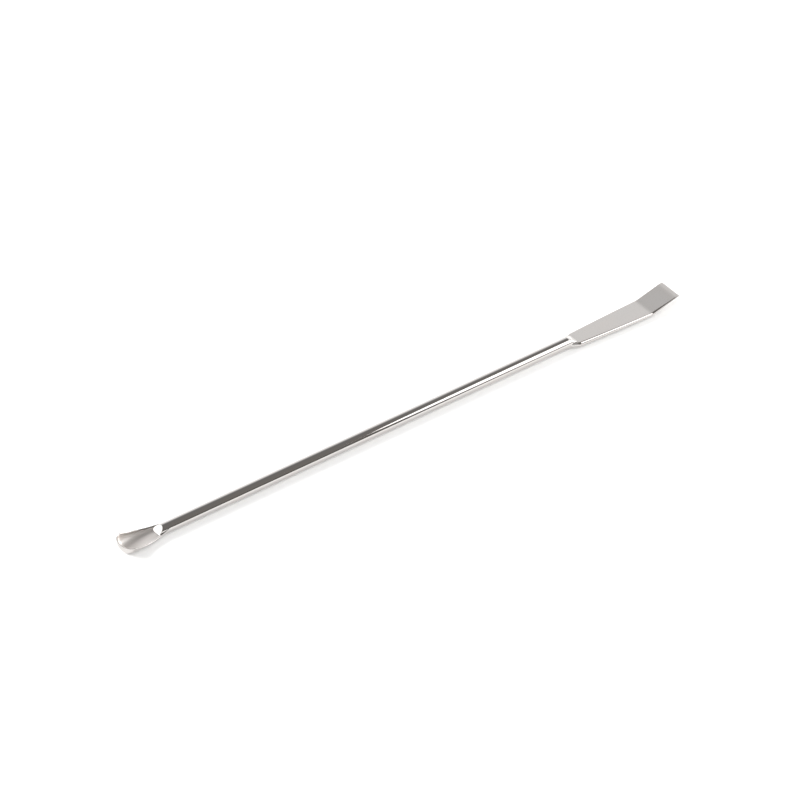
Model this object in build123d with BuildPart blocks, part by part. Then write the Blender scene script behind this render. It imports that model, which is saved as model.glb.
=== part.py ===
from build123d import *
import os
from math import cos, radians, sin, sqrt

# Lab micro spatula, forged from one round rod: a small spoon at one end and a flat blade with a
# turned-up tip at the other. Millimetres. X runs along the rod from the spoon to the blade, Z is up,
# and the origin is the point midway along the spatula at the level of the surface that it lies on.

# The rod
overall_length = 200.0
rod_diameter = 3.5

# The spoon, at the low end of X. The rim's heights are above the rod's axis.
spoon_length = 15.45  # from the tip to the top edge of the sloping neck face
neck_angle = 42.0  # slope of the neck face
neck_overlap = 2.2  # the bowl's sections start this far inside the rod
neck_width = 2.8  # width of the first section
bowl_width = 7.55
bowl_front = 3.1  # from where the bowl is widest to the tip
bowl_roll = 9.0  # degrees that the bowl is turned about the rod, its +Y side up
neck_rim = 1.0
waist_rim = 0.39  # the rim's lowest point
bowl_rim = 1.95  # round the front of the bowl
waist_place = 0.4  # share of the way from the first section to where the bowl is widest
side_wall = 0.35
neck_wall = 0.7  # the sides are thicker where they leave the rod
floor_thickness = 0.7
neck_floor_rise = 1.5  # how much higher the hollow's floor is at the first section
neck_relief = 0.02  # how far the belly starts above the rod's underside
belly_drop = 0.14  # how much lower it gets, before it is ground flat, level with the rod's underside

# The blade, at the high end of X
blade_length = 34.4  # from the root, where the sides stop flaring, to the tip
upturn_length = 10.5  # the bent end, within the blade's length
upturn_angle = 15.0
bend_radius = 6.0
blade_drop = 0.42  # the blade's middle plane lies this far below the rod's axis
root_width = 6.1
blade_width = 8.15
side_bow = 0.2  # how much wider than a straight taper the blade is halfway
root_thickness = 1.6
bend_thickness = 1.25
tip_thickness = 0.45
edge_thickness = 0.2
bevel_length = 1.4
grinding = 0.05  # ground off each face of the forged blade
flare_length = 4.2  # the stretch over which the sides spread to the root's width
throat_width = 3.0  # the blade's section where it starts inside the rod
shoulder_length = 2.5  # the slopes between the rod's round and the blade's flats
shoulder_lead = 0.8  # the foot of the shoulder comes this far before the root

# Places along the rod and above the surface
rod_radius = rod_diameter / 2
axis_height = rod_radius
tip_x = overall_length / 2
neck_x = -tip_x + spoon_length
bowl_x = -tip_x + bowl_front
spoon_start_x = neck_x + neck_overlap
waist_x = spoon_start_x + waist_place * (bowl_x - spoon_start_x)
root_x = tip_x - blade_length
bend_x = tip_x - upturn_length
flare_x = root_x - flare_length
foot_x = root_x - shoulder_lead
shoulder_x = foot_x - shoulder_length
blade_height = axis_height - blade_drop
blade_top = blade_height + root_thickness / 2
blade_bottom = blade_height - root_thickness / 2
bend_top = blade_height + bend_thickness / 2
bend_bottom = blade_height - bend_thickness / 2
clear = rod_diameter  # how far a cutting shape reaches past what it cuts

# Where cross-sections are drawn, as shares of a stretch
stations = (0, 0.25, 0.5, 0.75, 1)

# The spoon's rim seen from the side, its roll and the slope of its neck
with BuildLine(Plane.XZ):
    rim = ThreePointArc((spoon_start_x, neck_rim), (waist_x, waist_rim), (bowl_x, bowl_rim))
roll = radians(bowl_roll)
slope = radians(neck_angle)
neck_plane = Plane((neck_x, 0, rod_diameter), x_dir=(0, 1, 0), z_dir=(-sin(slope), 0, cos(slope)))


def spoon_plane(x):
    # The rolled plane across the spoon at x, with its centre on the rod's axis
    return Plane((x, 0, axis_height), x_dir=(0, cos(roll), sin(roll)), z_dir=(1, 0, 0))


def growth(x):
    # How far the spoon has spread at x: 0 at its first section, 1 and level at the middle of the bowl
    return sin(radians(90) * (spoon_start_x - x) / (spoon_start_x - bowl_x))


def outer_section(x, rim_height):
    # Half the outer width, and the depth that brings the rolled belly to its height at x
    half_width = (neck_width + (bowl_width - neck_width) * growth(x)) / 2
    belly = rod_radius - neck_relief + belly_drop * growth(x) ** 6
    drop = belly + rim_height * cos(roll)
    return half_width, sqrt(drop**2 - (half_width * sin(roll)) ** 2) / cos(roll)


def inner_section(x, rim_height):
    # The same for the hollow, inside its walls and above its floor
    half_width, depth = outer_section(x, rim_height)
    short_of_bowl = 1 - growth(x)
    wall = side_wall + (neck_wall - side_wall) * short_of_bowl
    return half_width - wall, depth - floor_thickness - neck_floor_rise * short_of_bowl


# The line midway through the blade's thickness, seen from the side
turn = radians(upturn_angle)
bend_run = bend_radius * sin(turn)
corner_run = tip_thickness / 2 * sin(turn)
upturn_run = (upturn_length - bend_run - corner_run) / cos(turn)
bevel_rise = (bend_thickness - tip_thickness) / 2 * bevel_length / upturn_run
with BuildLine(Plane.XZ):
    level = Line((flare_x, blade_height), (bend_x, blade_height))
    bend = JernArc(level @ 1, level % 1, bend_radius, upturn_angle)
    upturn = PolarLine(bend @ 1, upturn_run, upturn_angle)


def tip_point(back, up):
    # A point near the tip seen from the side, along and square to the line's turned-up end
    end = upturn @ 1
    return end.X - back * cos(turn) - up * sin(turn), end.Z - back * sin(turn) + up * cos(turn)


def blade_plane(line, share):
    # The plane square across the blade, its X across the width and its Y through the thickness
    return Plane(line @ share, x_dir=(0, 1, 0), z_dir=line % share)


# The rod, cut to the sloping neck face at one end and to the shoulders at the other
with BuildPart() as rod:
    with BuildSketch(Plane.YZ.offset(-tip_x)):
        with Locations((0, axis_height)):
            Circle(rod_radius)
    extrude(amount=foot_x + tip_x)
    split(bisect_by=neck_plane, keep=Keep.BOTTOM)
    with BuildSketch(Plane.XZ):
        for start, end, away in (
            (rod_diameter, blade_top, rod_diameter + clear),
            (0, blade_bottom, -clear),
        ):
            with BuildLine():
                Polyline(
                    (shoulder_x, start),
                    (foot_x, end),
                    (foot_x + clear, end),
                    (foot_x + clear, away),
                    (shoulder_x, away),
                    close=True,
                )
            make_face()
    extrude(amount=rod_diameter, both=True, mode=Mode.SUBTRACT)

# The blade: its forged outline with full round edges, then ground to its profile seen from the side
with BuildPart() as blade:
    for share in stations:
        spread = (1 - cos(radians(180) * share)) / 2
        width = throat_width + (root_width - throat_width) * spread
        with BuildSketch(Plane.YZ.offset(flare_x + flare_length * share)):
            with Locations((0, blade_height)):
                SlotOverall(width, root_thickness + 2 * grinding)
    loft()
    for share in stations:
        width = root_width + (blade_width - root_width) * share + side_bow * sin(radians(180) * share)
        thickness = root_thickness + (bend_thickness - root_thickness) * share
        with BuildSketch(Plane.YZ.offset(root_x + (bend_x - root_x) * share)):
            with Locations((0, blade_height)):
                SlotOverall(width, thickness + 2 * grinding)
    loft()
    for share in (0, 0.5, 1):
        with BuildSketch(blade_plane(bend, share)):
            SlotOverall(blade_width, bend_thickness + 2 * grinding)
    loft()
    for share, thickness in ((0, bend_thickness), (1, tip_thickness)):
        with BuildSketch(blade_plane(upturn, share)):
            SlotOverall(blade_width, thickness + 2 * grinding)
    loft(ruled=True)
    with BuildSketch(Plane.XZ):
        with BuildLine():
            over = JernArc((bend_x, bend_top), (1, 0), bend_radius - bend_thickness / 2, upturn_angle)
            under = JernArc((bend_x, bend_bottom), (1, 0), bend_radius + bend_thickness / 2, upturn_angle)
            Polyline(
                over @ 0,
                (root_x, blade_top),
                (flare_x, blade_top),
                (flare_x, blade_bottom),
                (root_x, blade_bottom),
                under @ 0,
            )
            Polyline(
                under @ 1,
                tip_point(0, -tip_thickness / 2),
                tip_point(0, edge_thickness - tip_thickness / 2),
                tip_point(bevel_length, tip_thickness / 2 + bevel_rise),
                over @ 1,
            )
        make_face()
    extrude(amount=blade_width, both=True, mode=Mode.INTERSECT)

# The front of the bowl, turned half round where X is 0 and then squashed to its length along X
half_width, depth = outer_section(bowl_x, bowl_rim)
with BuildPart() as front:
    with BuildSketch(Plane.YZ):
        with BuildLine():
            EllipticalCenterArc((0, bowl_rim), half_width, depth, 270, arc_size=90)
            Polyline((half_width, bowl_rim), (0, bowl_rim), (0, bowl_rim - depth))
        make_face()
    revolve(axis=Axis.Z, revolution_arc=180)
    scale(by=(bowl_front / half_width, 1, 1))

half_width, depth = inner_section(bowl_x, bowl_rim)
with BuildPart() as front_hollow:
    with BuildSketch(Plane.YZ):
        with BuildLine():
            EllipticalCenterArc((0, bowl_rim), half_width, depth, 270, arc_size=90)
            Polyline(
                (half_width, bowl_rim),
                (half_width, bowl_rim + clear),
                (0, bowl_rim + clear),
                (0, bowl_rim - depth),
            )
        make_face()
    revolve(axis=Axis.Z, revolution_arc=180)
    scale(by=((bowl_front - side_wall) / half_width, 1, 1))

# The hollow between the neck face and the bowl's widest place, open upwards
with BuildPart() as hollow:
    for share in stations:
        place = rim @ share
        half_width, depth = inner_section(place.X, place.Z)
        with BuildSketch(spoon_plane(place.X)):
            with BuildLine():
                EllipticalCenterArc((0, place.Z), half_width, depth, 180, arc_size=180)
                Polyline(
                    (half_width, place.Z),
                    (half_width, place.Z + clear),
                    (-half_width, place.Z + clear),
                    (-half_width, place.Z),
                )
            make_face()
    loft()
    split(bisect_by=neck_plane, keep=Keep.TOP)

with BuildPart() as spatula:
    # The spoon: half ellipses that widen from the neck to the bowl, then hollowed
    for share in stations:
        place = rim @ share
        half_width, depth = outer_section(place.X, place.Z)
        with BuildSketch(spoon_plane(place.X)):
            with BuildLine():
                EllipticalCenterArc((0, place.Z), half_width, depth, 180, arc_size=180)
                Line((half_width, place.Z), (-half_width, place.Z))
            make_face()
    loft()
    add(hollow.part, mode=Mode.SUBTRACT)
    with Locations(Location((bowl_x, 0, axis_height), (bowl_roll, 0, 0))):
        add(front.part)
        add(front_hollow.part, mode=Mode.SUBTRACT)
    split(bisect_by=Plane.XY, keep=Keep.TOP)
    add(rod.part)
    add(blade.part)

os.makedirs("parts", exist_ok=True)
spatula.part.label = "spatula"
export_step(spatula.part, "parts/spatula.step")
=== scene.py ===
import math

import bmesh
import bpy
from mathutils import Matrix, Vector


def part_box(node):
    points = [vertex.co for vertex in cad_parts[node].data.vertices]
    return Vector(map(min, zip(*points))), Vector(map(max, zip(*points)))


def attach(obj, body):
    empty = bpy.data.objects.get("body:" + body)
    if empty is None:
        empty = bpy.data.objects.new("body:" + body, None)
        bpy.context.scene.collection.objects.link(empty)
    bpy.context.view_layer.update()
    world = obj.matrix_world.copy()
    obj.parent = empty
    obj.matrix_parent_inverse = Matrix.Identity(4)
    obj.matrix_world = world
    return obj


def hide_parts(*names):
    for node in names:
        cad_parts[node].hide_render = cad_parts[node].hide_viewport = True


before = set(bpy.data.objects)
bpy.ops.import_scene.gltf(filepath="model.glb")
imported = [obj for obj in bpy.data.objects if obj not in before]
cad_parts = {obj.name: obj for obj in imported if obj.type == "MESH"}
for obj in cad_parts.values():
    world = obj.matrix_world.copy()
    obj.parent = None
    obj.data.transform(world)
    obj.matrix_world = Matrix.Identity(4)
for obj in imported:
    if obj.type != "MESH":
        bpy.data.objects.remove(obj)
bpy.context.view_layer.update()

# Forms are worked out in millimetres and turned into metres as the mesh is made
mm = 0.001
tiny = 1e-9  # keeps a divisor away from zero
nodeLow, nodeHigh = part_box("spatula")
tipX = nodeHigh.x / mm
bladeWidth = (nodeHigh.y - nodeLow.y) / mm
print("frame loaded, the spatula is", round((nodeHigh.x - nodeLow.x) / mm, 1), "mm long")


def between(first, last, share):
    return first + (last - first) * share


def softMax(first, second, width):
    # The larger of two values, with the corner between them rounded over that width
    if width <= 0:
        return max(first, second)
    overlap = max(width - abs(first - second), 0) / width
    return max(first, second) + overlap * overlap * width / 4


def softMin(first, second, width):
    return -softMax(-first, -second, width)


def ease(share):
    # From 0 to 1, level at both ends
    return (1 - math.cos(math.pi * min(max(share, 0), 1))) / 2


def sections(makeRow, side, first, last, gap):
    # Sections from first to last, about so far apart. Side is -1 near the camera and 1 on the far side.
    count = max(round(abs(last - first) / gap), 1)
    return [makeRow(between(first, last, step / count), side) for step in range(count)]


# The rod
rod = {
    "diameter": 3.5,
    "rings": 90,  # sections along it
    "settling": 6,  # the higher it is, the nearer to the spoon its points reach the blade's places
}
rodRadius = rod["diameter"] / 2
axisHeight = rodRadius

# The spoon, at the low end of X. The rim's heights are above the rod's axis.
spoon = {
    "length": 15.45,  # from the tip to the top edge of the neck face
    "neckAngle": 42,
    "neckOverlap": 2.2,  # the bowl starts this far inside the rod
    "neckWidth": 2.8,
    "bowlWidth": 7.55,
    "front": 3.1,  # from where the bowl is widest to its tip
    "roll": 9,  # degrees, its +Y side up
    "neckRim": 1.0,
    "waistRim": 0.39,
    "waistPlace": 0.4,  # share of the way from the bowl's start to where it is widest
    "bowlRim": 1.95,
    "sideWall": 0.35,
    "neckWall": 0.7,
    "floor": 0.7,
    "neckFloorRise": 1.5,
    "neckRelief": 0.02,
    "bellyDrop": 0.14,  # the belly's low part is then ground flat
    "bellyPower": 6,  # the higher it is, the nearer to the front the belly drops
    "lip": 0.1,  # rounding of the rim's edges
    "rimLean": 0.09,  # how much lower the rim's inner edge is
    "hollowPower": 0.8,  # below 1 makes the hollow a little flatter than an ellipse
    "neckRounding": 0.1,  # rounding of the neck face's edges
    "forging": 0.2,  # rounding where the bowl grows out of the rod
    "outerSteps": 30,
    "lipSteps": 4,
    "rimSteps": 7,
    "innerSteps": 24,
    "frontSteps": 64,
    "bowlGap": 0.15,
    "fineGap": 0.045,
    "neckGap": 0.105,
    "fineStart": 11,  # the neck's sections are closest between these distances from the tip
    "fineEnd": 16.5,
}
roll = math.radians(spoon["roll"])
neckSlope = math.tan(math.radians(spoon["neckAngle"]))
neckX = -tipX + spoon["length"]
bowlX = -tipX + spoon["front"]
fineStartX = -tipX + spoon["fineStart"]
fineEndX = -tipX + spoon["fineEnd"]
spoonStart = neckX + spoon["neckOverlap"]
waistX = between(spoonStart, bowlX, spoon["waistPlace"])
rimPoints = ((spoonStart, spoon["neckRim"]), (waistX, spoon["waistRim"]), (bowlX, spoon["bowlRim"]))


def rimHeight(x):
    # The smooth line through the rim's three heights
    total = 0
    for place, height in rimPoints:
        share = height
        for other, unused in rimPoints:
            if other != place:
                share *= (x - other) / (place - other)
        total += share
    return total


def spoonMeasures(x):
    # The spoon's section at x. Widths are half widths, and lean and roundings fade out inside the rod.
    growth = math.sin(math.pi / 2 * (spoonStart - x) / (spoonStart - bowlX))
    width = between(spoon["neckWidth"], spoon["bowlWidth"], growth) / 2
    rim = rimHeight(x)
    belly = rodRadius - spoon["neckRelief"] + spoon["bellyDrop"] * growth ** spoon["bellyPower"]
    drop = belly + rim * math.cos(roll)
    depth = math.sqrt(drop**2 - (width * math.sin(roll)) ** 2) / math.cos(roll)
    wall = between(spoon["neckWall"], spoon["sideWall"], growth)
    fade = min(1, (spoonStart - x) / spoon["neckOverlap"])
    return {
        "width": width,
        "depth": depth,
        "wall": wall,
        "innerWidth": width - wall,
        "innerDepth": depth - spoon["floor"] - spoon["neckFloorRise"] * (1 - growth),
        "rim": rim,
        "lean": spoon["rimLean"] * fade,
        "forging": spoon["forging"] * fade,
        "rounding": spoon["neckRounding"] * fade,
        "neckLine": rodRadius + (x - neckX) * neckSlope,  # the neck face's height above the rod's axis
    }


def rodReach(across, up, neckLine):
    # How far the rod reaches in that direction from its axis, under the neck face's plane
    rise = across * math.sin(roll) + up * math.cos(roll)
    if rise > 0:
        return min(rodRadius, max(neckLine, 0) / rise)
    if neckLine < 0 and neckLine / min(rise, -tiny) > rodRadius:
        return 0
    return rodRadius


def spoonOutline(measures):
    # The section apart from the rod, from the belly round the rim to the top of the hollow's wall
    width = measures["width"]
    innerWidth = measures["innerWidth"]
    rim = measures["rim"]
    lean = measures["lean"]
    lip = spoon["lip"]
    outline = []
    for step in range(spoon["outerSteps"]):
        turn = math.pi / 2 * (step / spoon["outerSteps"] - 1)
        outline.append((width * math.cos(turn), rim - lip + (measures["depth"] - lip) * math.sin(turn)))
    for step in range(spoon["lipSteps"]):
        turn = math.pi / 2 * step / spoon["lipSteps"]
        outline.append((width - lip + lip * math.cos(turn), rim - lip + lip * math.sin(turn)))
    for step in range(spoon["rimSteps"]):
        share = step / spoon["rimSteps"]
        outline.append((between(width - lip, innerWidth + lip, share), rim - lean * share))
    for step in range(spoon["lipSteps"] + 1):
        turn = math.pi / 2 * step / spoon["lipSteps"]
        outline.append((innerWidth + lip - lip * math.sin(turn), rim - lean - lip + lip * math.cos(turn)))
    return outline


def outsidePoints(measures, side):
    # The outline with the rod. Points inside the rod move out to its round, and none turns back there.
    neckLine = measures["neckLine"]
    points = []
    furthest = -math.pi / 2
    for across, up in spoonOutline(measures):
        distance = math.hypot(across, up)
        angle = math.atan2(up, across)
        reach = rodReach(side * math.cos(angle), math.sin(angle), neckLine)
        inside = min(max((reach - distance) / spoon["forging"], 0), 1)
        angle += max(furthest - angle, 0) * inside
        furthest = max(furthest, angle)
        reach = rodReach(side * math.cos(angle), math.sin(angle), neckLine)
        grown = softMax(distance, reach, measures["forging"])
        if len(points) < spoon["outerSteps"]:
            front = across * spoon["front"] / measures["width"]
        else:
            front = spoon["front"] - (measures["width"] - across)
        points.append((grown * math.cos(angle), grown * math.sin(angle), front))
    return points


def hollowPoints(measures, side, edge):
    # The hollow from the wall at that edge to its middle, or the rod and its neck face where they are higher
    rimEdge = measures["rim"] - measures["lean"]
    top = rimEdge - spoon["lip"]
    depth = measures["innerDepth"] - measures["lean"] - spoon["lip"]
    rounding = measures["rounding"]
    points = []
    for step in range(1, spoon["innerSteps"] + 1):
        turn = math.pi / 2 * (step + 1) / (spoon["innerSteps"] + 1)
        across = edge * max(math.cos(turn), 0) ** spoon["hollowPower"]
        tilt = side * across * math.sin(roll)
        hollow = top - depth * math.sin(turn) ** spoon["hollowPower"]
        hollow -= tilt * math.sin(turn) ** 2  # turns the floor level
        plane = (measures["neckLine"] - tilt) / math.cos(roll)
        rodTop = math.sqrt(max(rodRadius**2 - across**2, 0))
        solid = softMin(plane, softMax(rimEdge, rodTop, rounding), rounding)
        front = across * (spoon["front"] - measures["wall"]) / edge
        points.append((across, softMax(hollow, solid, rounding), front))
    return points


def spoonHalf(x, side):
    # Half of the spoon's section in its rolled frame, from the belly round the rim to the hollow's middle,
    # with how far in front of the bowl's widest place each point gets when the half swings round the front
    measures = spoonMeasures(x)
    points = outsidePoints(measures, side)
    edge = points[-1][0]
    return points + hollowPoints(measures, side, edge)


def rolled(x, across, up):
    # From the spoon's rolled frame to the part's, with the belly ground flat
    y = across * math.cos(roll) - up * math.sin(roll)
    z = axisHeight + across * math.sin(roll) + up * math.cos(roll)
    return x, y, max(z, 0)


def spoonRow(x, side):
    return [rolled(x, side * across, up) for across, up, front in spoonHalf(x, side)]


def frontRow(turn):
    # The bowl's half section swung round its front, from the near side to the far one
    side = math.sin(turn)
    row = []
    for across, up, front in spoonHalf(bowlX, side):
        row.append(rolled(bowlX - front * math.cos(turn), across * side, up))
    return row


# The blade, at the high end of X
blade = {
    "length": 34.4,
    "upturn": 10.5,
    "upturnAngle": 15,
    "bendRadius": 6.0,
    "drop": 0.42,  # its middle plane lies this far below the rod's axis
    "rootWidth": 6.1,
    "sideBow": 0.2,
    "rootThickness": 1.6,
    "bendThickness": 1.25,
    "tipThickness": 0.45,
    "edgeThickness": 0.2,
    "bevel": 1.4,
    "ground": 0.05,  # ground off each face, which leaves an edge beside the round side
    "flare": 4.2,
    "throatWidth": 3.0,
    "shoulder": 2.5,
    "shoulderLead": 0.8,
    "shoulderRounding": 0.3,
    "endRounding": 0.05,
    "sidePoints": 26,
    "endSteps": 3,
    "shoulderGap": 0.08,
    "levelGap": 1,
    "bendGap": 0.1,  # as a share of the bend
    "upturnGap": 0.9,
    "bevelGap": 0.3,
}
rootX = tipX - blade["length"]
bendX = tipX - blade["upturn"]
flareX = rootX - blade["flare"]
footX = rootX - blade["shoulderLead"]
shoulderX = footX - blade["shoulder"]
bladeHeight = axisHeight - blade["drop"]
upturn = math.radians(blade["upturnAngle"])
upturnX = bendX + blade["bendRadius"] * math.sin(upturn)
upturnHeight = bladeHeight + blade["bendRadius"] * (1 - math.cos(upturn))
upturnRun = (tipX - upturnX - blade["tipThickness"] / 2 * math.sin(upturn)) / math.cos(upturn)

# Points on each half section, from below to above: the blade's have to be as many as the spoon's
hollowStart = spoon["outerSteps"] + 2 * spoon["lipSteps"] + spoon["rimSteps"] + 1
sectionPoints = hollowStart + spoon["innerSteps"]
facePoints = (sectionPoints - blade["sidePoints"]) // 2


def bladeHalf(width, thickness):
    # Half of a blade's section from the middle of its lower face to the middle of its upper one
    half = thickness / 2
    sideRadius = half + blade["ground"]
    centre = width / 2 - sideRadius
    lean = math.asin(half / sideRadius)
    corner = centre + sideRadius * math.cos(lean)
    face = [corner * math.sin(math.pi / 2 * step / facePoints) for step in range(facePoints)]
    points = [(across, -half) for across in face]
    for step in range(blade["sidePoints"]):
        turn = lean * (2 * step / (blade["sidePoints"] - 1) - 1)
        points.append((centre + sideRadius * math.cos(turn), sideRadius * math.sin(turn)))
    points += [(across, half) for across in reversed(face)]
    return points


# The directions of the points of the blade's first section, which the shoulders keep
rootAngles = [math.atan2(up, across) for across, up in bladeHalf(blade["rootWidth"], blade["rootThickness"])]


def slotReach(across, up, width, thickness):
    # How far a blade's section reaches in that direction from its middle
    sideRadius = thickness / 2 + blade["ground"]
    centre = width / 2 - sideRadius
    face = thickness / 2 / max(abs(up), tiny)
    inside = sideRadius**2 - (centre * up) ** 2
    if inside < 0:
        return face
    return min(face, centre * across + math.sqrt(inside))


def circleReach(across, up):
    # The same for the rod's round, whose axis is above the blade's middle
    drop = blade["drop"]
    return drop * up + math.sqrt(rodRadius**2 - (drop * across) ** 2)


def shoulderRow(x, side):
    # The rod's round, cut by the shoulders' slopes, joined to the flaring blade
    thickness = blade["rootThickness"]
    width = between(blade["throatWidth"], blade["rootWidth"], ease((x - flareX) / blade["flare"]))
    share = (x - shoulderX) / blade["shoulder"]
    rounding = blade["shoulderRounding"] * min(max((x - flareX) / blade["flare"], 0), 1)
    row = []
    for angle in rootAngles:
        across = math.cos(angle)
        up = math.sin(angle)
        reach = slotReach(across, up, width, thickness)
        if x < footX:
            rodPart = circleReach(across, up)
            if x > shoulderX:
                rodHeight = rod["diameter"] - bladeHeight if up > 0 else bladeHeight
                slope = between(rodHeight, thickness / 2, share)
                rodPart = softMin(rodPart, slope / max(abs(up), tiny), rounding)
            reach = softMax(reach, rodPart, rounding)
        row.append((x, side * reach * across, bladeHeight + reach * up))
    return row


def levelRow(x, side):
    share = (x - rootX) / (bendX - rootX)
    width = between(blade["rootWidth"], bladeWidth, share) + blade["sideBow"] * math.sin(math.pi * share)
    thickness = between(blade["rootThickness"], blade["bendThickness"], share)
    return [(x, side * across, bladeHeight + up) for across, up in bladeHalf(width, thickness)]


def turnedRow(x, height, turn, section, side):
    # A section square to the blade's bent middle line
    row = []
    for across, up in section:
        row.append((x - up * math.sin(turn), side * across, height + up * math.cos(turn)))
    return row


def bendRow(share, side):
    turn = upturn * share
    x = bendX + blade["bendRadius"] * math.sin(turn)
    height = bladeHeight + blade["bendRadius"] * (1 - math.cos(turn))
    return turnedRow(x, height, turn, bladeHalf(bladeWidth, blade["bendThickness"]), side)


def upturnRow(back, side, inset=0):
    # A section so far back from the tip, cut by the bevel and made smaller by the inset
    thickness = between(blade["bendThickness"], blade["tipThickness"], 1 - back / upturnRun)
    bevelStart = between(blade["tipThickness"], blade["bendThickness"], blade["bevel"] / upturnRun) / 2
    bevelEnd = blade["edgeThickness"] - blade["tipThickness"] / 2
    limit = between(bevelEnd, bevelStart, back / blade["bevel"])
    middle = (min(limit, thickness / 2) - thickness / 2) / 2
    narrower = 1 - 2 * inset / bladeWidth
    thinner = max(1 - inset / (blade["edgeThickness"] / 2), 0)
    section = []
    for across, up in bladeHalf(bladeWidth, thickness):
        section.append((across * narrower, middle + (min(up, limit) - middle) * thinner))
    run = upturnRun - back
    x = upturnX + run * math.cos(upturn)
    height = upturnHeight + run * math.sin(upturn)
    return turnedRow(x, height, upturn, section, side)


def endRows(side):
    # The blade's rounded end, closed down to a line across its middle
    rounding = blade["endRounding"]
    rows = []
    for step in range(blade["endSteps"] + 1):
        turn = math.pi / 2 * step / blade["endSteps"]
        rows.append(upturnRow(rounding * (1 - math.sin(turn)), side, rounding * (1 - math.cos(turn))))
    rows.append(upturnRow(0, side, blade["edgeThickness"] / 2))
    return rows


def axisAngles(row, side):
    # The directions of a section's points from the rod's axis
    return [math.atan2(z - axisHeight, side * y) for x, y, z in row]


def rodRows(side):
    # The rod's rings, whose points turn from the spoon's places to the blade's
    firstAngles = axisAngles(spoonRow(spoonStart, side), side)
    lastAngles = axisAngles(shoulderRow(flareX, side), side)
    rows = []
    for step in range(rod["rings"]):
        share = step / rod["rings"]
        x = between(spoonStart, flareX, share)
        turned = 1 - (1 - share) ** rod["settling"]
        row = []
        for first, last in zip(firstAngles, lastAngles):
            angle = between(first, last, turned)
            row.append((x, side * rodRadius * math.cos(angle), axisHeight + rodRadius * math.sin(angle)))
        rows.append(row)
    return rows


def sideRows(side):
    # One side of the spatula, from where the bowl is widest to the blade's end
    rows = sections(spoonRow, side, bowlX, fineStartX, spoon["bowlGap"])
    rows += sections(spoonRow, side, fineStartX, fineEndX, spoon["fineGap"])
    rows += sections(spoonRow, side, fineEndX, spoonStart, spoon["neckGap"])
    rows += rodRows(side)
    rows += sections(shoulderRow, side, flareX, rootX, blade["shoulderGap"])
    rows += sections(levelRow, side, rootX, bendX, blade["levelGap"])
    rows += sections(bendRow, side, 0, 1, blade["bendGap"])
    rows += sections(upturnRow, side, upturnRun, blade["bevel"], blade["upturnGap"])
    rows += sections(upturnRow, side, blade["bevel"], blade["endRounding"], blade["bevelGap"])
    rows += endRows(side)
    return rows


def spatulaRows():
    # Half sections led along the near side, round the spoon's front and back along the far side
    rows = list(reversed(sideRows(-1)))
    for step in range(1, spoon["frontSteps"]):
        rows.append(frontRow(math.pi * (step / spoon["frontSteps"] - 0.5)))
    rows += sideRows(1)
    return rows


steel = {
    "warm": (0.65, 0.61, 0.585, 1),
    "cool": (0.635, 0.625, 0.615, 1),
    "paintedPale": (0.91, 0.865, 0.835, 1),  # a paler colour painted on the satin parts, painted light that makes the hollow and the blade's faces look more brightly lit
    "polished": 0.04,  # roughness of the rod
    "satin": 0.42,  # roughness of the hollow
    "bladeSatin": 0.2,  # how far the blade's faces go from polished to satin
    "satinLead": 0.8,  # the shoulders turn satin over this length
    "neckMargin": 0.1,  # the neck face stays polished up to this far above its plane
    "uneven": 0.25,  # how much the roughness varies
    "patch": 140,  # patches per metre
    "patchDetail": 4,
    "grain": (500, 5000, 5000),  # grinding lines per metre, along the blade
    "grainDepth": 0.004,
}


def satinShare(point, index):
    # How satin the steel is: 1 in the hollow, less on the blade's ground faces and 0 where it is polished.
    # The same share also paints those parts paler, as painted light.
    x, unused, z = point
    if x < neckX:
        neckHeight = rod["diameter"] + (x - neckX) * neckSlope
        return 1 if index >= hollowStart and z > neckHeight + steel["neckMargin"] else 0
    if index < facePoints or index >= facePoints + blade["sidePoints"]:
        return steel["bladeSatin"] * ease((x - shoulderX) / steel["satinLead"])
    return 0


def addObject(name, data):
    piece = bpy.data.objects.new(name, data)
    bpy.context.collection.objects.link(piece)
    return piece


cleaning = {
    "join": 0.0002,  # points this close become one
    "thinnest": 0.0001,  # faces thinner than this are taken out
}


def makeSpatula():
    mesh = bmesh.new()
    satin = mesh.verts.layers.float.new("satin")
    rings = []
    for row in spatulaRows():
        ring = [mesh.verts.new(Vector(point) * mm) for point in row]
        for index, vert in enumerate(ring):
            vert[satin] = satinShare(row[index], index)
        rings.append(ring)
    for here, there in zip(rings, rings[1:]):
        for index in range(len(here) - 1):
            mesh.faces.new((here[index], there[index], there[index + 1], here[index + 1]))
    bmesh.ops.remove_doubles(mesh, verts=mesh.verts, dist=cleaning["join"] * mm)
    bmesh.ops.dissolve_degenerate(mesh, edges=mesh.edges, dist=cleaning["thinnest"] * mm)
    bmesh.ops.recalc_face_normals(mesh, faces=mesh.faces)
    for face in mesh.faces:
        face.smooth = True
    openEdges = sum(1 for edge in mesh.edges if not edge.is_manifold)
    print("spatula mesh has", len(mesh.faces), "faces and", openEdges, "open edges")
    data = bpy.data.meshes.new("polishedSpatula")
    mesh.to_mesh(data)
    mesh.free()
    return addObject("polishedSpatula", data)


def setInputs(tree, node, inputs):
    # Each input gets a fixed value or another node's output
    for name, value in inputs.items():
        if isinstance(value, bpy.types.NodeSocket):
            tree.links.new(value, node.inputs[name])
        else:
            node.inputs[name].default_value = value


def addNode(tree, kind, inputs, **settings):
    node = tree.nodes.new(kind)
    for name, value in settings.items():
        setattr(node, name, value)
    setInputs(tree, node, inputs)
    return node


def mixColors(tree, factor, first, second, blend="MIX"):
    inputs = {"Factor": factor, "A": first, "B": second}
    return addNode(tree, "ShaderNodeMix", inputs, data_type="RGBA", blend_type=blend).outputs["Result"]


def multiply(tree, first, second):
    return addNode(tree, "ShaderNodeMath", {0: first, 1: second}, operation="MULTIPLY").outputs["Value"]


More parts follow.
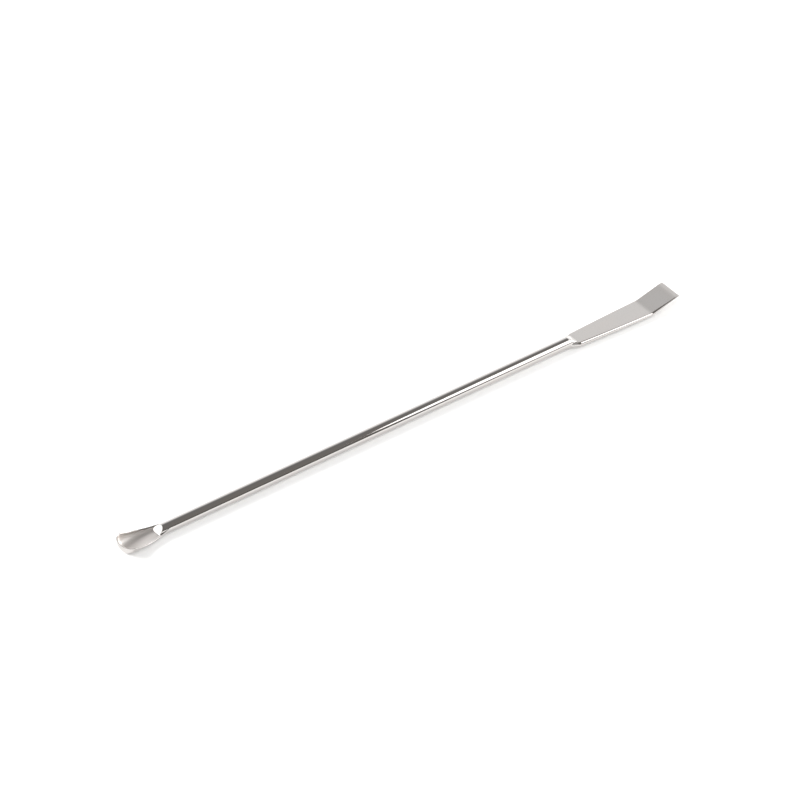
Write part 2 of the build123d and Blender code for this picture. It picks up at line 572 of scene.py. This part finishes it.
def spread(tree, value, low, high):
    # A value from 0 to 1 spread from low to high
    inputs = {"Value": value, "To Min": low, "To Max": high}
    return addNode(tree, "ShaderNodeMapRange", inputs).outputs["Result"]


def addNoise(tree, place, **inputs):
    return addNode(tree, "ShaderNodeTexNoise", {"Vector": place, **inputs}).outputs["Fac"]


def makeSteel():
    material = bpy.data.materials.new("polishedSteel")
    material.use_nodes = True
    tree = material.node_tree
    place = addNode(tree, "ShaderNodeTexCoord", {}).outputs["Object"]
    satin = addNode(tree, "ShaderNodeAttribute", {}, attribute_name="satin").outputs["Fac"]

    # Both the colour and the roughness vary a little in patches
    patches = addNoise(tree, place, Scale=steel["patch"], Detail=steel["patchDetail"])
    tint = mixColors(tree, patches, steel["warm"], steel["cool"])
    gloss = spread(tree, satin, steel["polished"], steel["satin"])
    uneven = spread(tree, patches, 1 - steel["uneven"], 1 + steel["uneven"])

    # Faint grinding lines where the steel is satin
    stretched = addNode(tree, "ShaderNodeMapping", {"Vector": place, "Scale": steel["grain"]})
    grain = addNoise(tree, stretched.outputs["Vector"], Scale=1)
    bump = {"Height": multiply(tree, grain, satin), "Distance": steel["grainDepth"] * mm}

    surface = {
        "Metallic": 1,
        # the satin parts are painted paler, painted light that brightens the hollow and the blade's faces
        "Base Color": mixColors(tree, satin, tint, steel["paintedPale"]),
        "Roughness": multiply(tree, gloss, uneven),
        "Normal": addNode(tree, "ShaderNodeBump", bump).outputs["Normal"],
    }
    setInputs(tree, tree.nodes["Principled BSDF"], surface)
    return material


spatula = makeSpatula()
spatula.data.materials.append(makeSteel())
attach(spatula, "root")
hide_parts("spatula")
print("spatula made")

floorPlane = {
    "size": 6000,
    "color": (0.9, 0.9, 0.895, 1),
    "roughness": 0.9,
    "shine": 0.1,
    "paintedGlow": 0.17,  # the floor glows a little by itself, painted light which softens the shadows
}


def makeFloor():
    mesh = bmesh.new()
    bmesh.ops.create_grid(mesh, x_segments=1, y_segments=1, size=floorPlane["size"] / 2 * mm)
    data = bpy.data.meshes.new("floor")
    mesh.to_mesh(data)
    mesh.free()
    material = bpy.data.materials.new("paleFloor")
    material.use_nodes = True
    surface = {
        "Base Color": floorPlane["color"],
        "Roughness": floorPlane["roughness"],
        "Specular IOR Level": floorPlane["shine"],
        # painted light: the floor's own glow lightens the shadows cast on it
        "Emission Color": floorPlane["color"],
        "Emission Strength": floorPlane["paintedGlow"],
    }
    setInputs(material.node_tree, material.node_tree.nodes["Principled BSDF"], surface)
    data.materials.append(material)
    piece = addObject("floor", data)


makeFloor()
print("floor made")

# Directions point from the spatula to each light. Only mirrored lights show in the steel.
keyLight = {
    "target": (0, 0, 0),
    "from": (-0.6, 0.635, 0.49),
    "distance": 2000,
    "size": 850,
    "power": 38,
    "shape": "SQUARE",
    "mirrored": False,
}
roundLight = {
    "target": (242, 0, 0),
    "from": (0.491, -0.645, 0.585),
    "distance": 300,
    "size": 440,
    "power": 1.0,
    "shape": "DISK",
    "mirrored": True,
}
fillLight = {
    "target": (0, 0, 0),
    "from": (-0.3, -0.6, 0.8),
    "distance": 2400,
    "size": 2400,
    "power": 20,
    "shape": "SQUARE",
    "mirrored": False,
}


def aim(piece, target, direction, distance):
    # Stands a light or camera that far from its target in that direction, facing it
    away = Vector(direction).normalized()
    piece.location = (Vector(target) + away * distance) * mm
    piece.rotation_mode = "QUATERNION"
    piece.rotation_quaternion = away.to_track_quat("Z", "Y")


def makeLight(name, lamp):
    data = bpy.data.lights.new(name, "AREA")
    data.shape = lamp["shape"]
    data.size = lamp["size"] * mm
    data.energy = lamp["power"]
    piece = addObject(name, data)
    aim(piece, lamp["target"], lamp["from"], lamp["distance"])
    piece.visible_camera = False
    piece.visible_glossy = lamp["mirrored"]


makeLight("keyLight", keyLight)
makeLight("roundLight", roundLight)
makeLight("fillLight", fillLight)
print("lights made")

# The room's brightness by direction, as places on a scale from 0 to 1 with the brightness there.
# There is a bright wall on the far side and a dim room behind the camera.
room = {
    "farSide": (
        (0.0, 0.2),
        (0.26, 0.22),
        (0.4, 0.36),
        (0.585, 0.6),
        (0.64, 0.9),
        (0.81, 1.12),
        (1.0, 1.35),
    ),
    "slant": (0, 1, -0.35),  # the far wall also dims upwards
    "slantStart": 0.21,
    "nearSide": ((0.0, 0.12), (0.16, 0.13), (0.34, 0.22), (1.0, 0.22)),
    "warmth": (1, 0.96, 0.91, 1),
    # Brighter bands from the low end of X to the high one
    "nearEnds": (
        (0.0, 0.6),
        (0.42, 0.6),
        (0.5, 0.0),
        (0.748, 0.0),
        (0.785, 1.0),
        (0.9, 0.7),
        (1.0, 0.3),
    ),
    "farEnds": (
        (0.0, 0.3),
        (0.17, 0.3),
        (0.205, 1.9),
        (0.26, 1.9),
        (0.33, 0.0),
        (0.76, 0.0),
        (0.83, 1.0),
        (1.0, 0.5),
    ),
    "farStart": 0.2,  # the near side turns into the far side up to this far beyond the middle
    "seen": (1, 1, 1, 1),
}


def addRamp(tree, value, stops):
    node = addNode(tree, "ShaderNodeValToRGB", {"Fac": value})
    ramp = node.color_ramp
    for index, (place, brightness) in enumerate(stops):
        stop = ramp.elements[index] if index < 2 else ramp.elements.new(place)
        stop.position = place
        stop.color = (brightness, brightness, brightness, 1)
    return node.outputs["Color"]


def makeRoom():
    world = bpy.data.worlds.new("softStudio")
    bpy.context.scene.world = world
    world.use_nodes = True
    tree = world.node_tree
    direction = addNode(tree, "ShaderNodeTexCoord", {}).outputs["Generated"]
    split = addNode(tree, "ShaderNodeSeparateXYZ", {"Vector": direction}).outputs
    along = addNode(tree, "ShaderNodeMapRange", {"Value": split["X"], "From Min": -1}).outputs["Result"]

    slant = {0: direction, 1: room["slant"]}
    slanted = addNode(tree, "ShaderNodeVectorMath", slant, operation="DOT_PRODUCT").outputs["Value"]
    shifted = addNode(tree, "ShaderNodeMath", {0: slanted, 1: room["slantStart"]}).outputs["Value"]
    farSide = addRamp(tree, shifted, room["farSide"])
    farWall = mixColors(tree, 1, farSide, addRamp(tree, along, room["farEnds"]), "LIGHTEN")

    nearSide = mixColors(tree, 1, addRamp(tree, split["Z"], room["nearSide"]), room["warmth"], "MULTIPLY")
    nearWall = mixColors(tree, 1, nearSide, addRamp(tree, along, room["nearEnds"]), "LIGHTEN")

    far = {"Value": split["Y"], "From Max": room["farStart"]}
    side = addNode(tree, "ShaderNodeMapRange", far).outputs["Result"]
    walls = mixColors(tree, side, nearWall, farWall)
    cameraRay = addNode(tree, "ShaderNodeLightPath", {}).outputs["Is Camera Ray"]
    seen = mixColors(tree, cameraRay, walls, room["seen"])
    setInputs(tree, tree.nodes["Background"], {"Color": seen})


makeRoom()
bpy.context.scene.view_settings.view_transform = "Standard"
print("room made")

camera = {
    "from": (-0.491, -0.635, 0.596),  # direction from the spatula to the camera
    "lookAt": (7.61, 7.4, 1.82),
    "across": 229.2,  # millimetres seen across the picture
    "distance": 1500,
}


def makeCamera():
    data = bpy.data.cameras.new("camera")
    data.type = "ORTHO"
    data.ortho_scale = camera["across"] * mm
    eye = addObject("camera", data)
    aim(eye, camera["lookAt"], camera["from"], camera["distance"])
    bpy.context.scene.camera = eye


makeCamera()
print("camera placed")
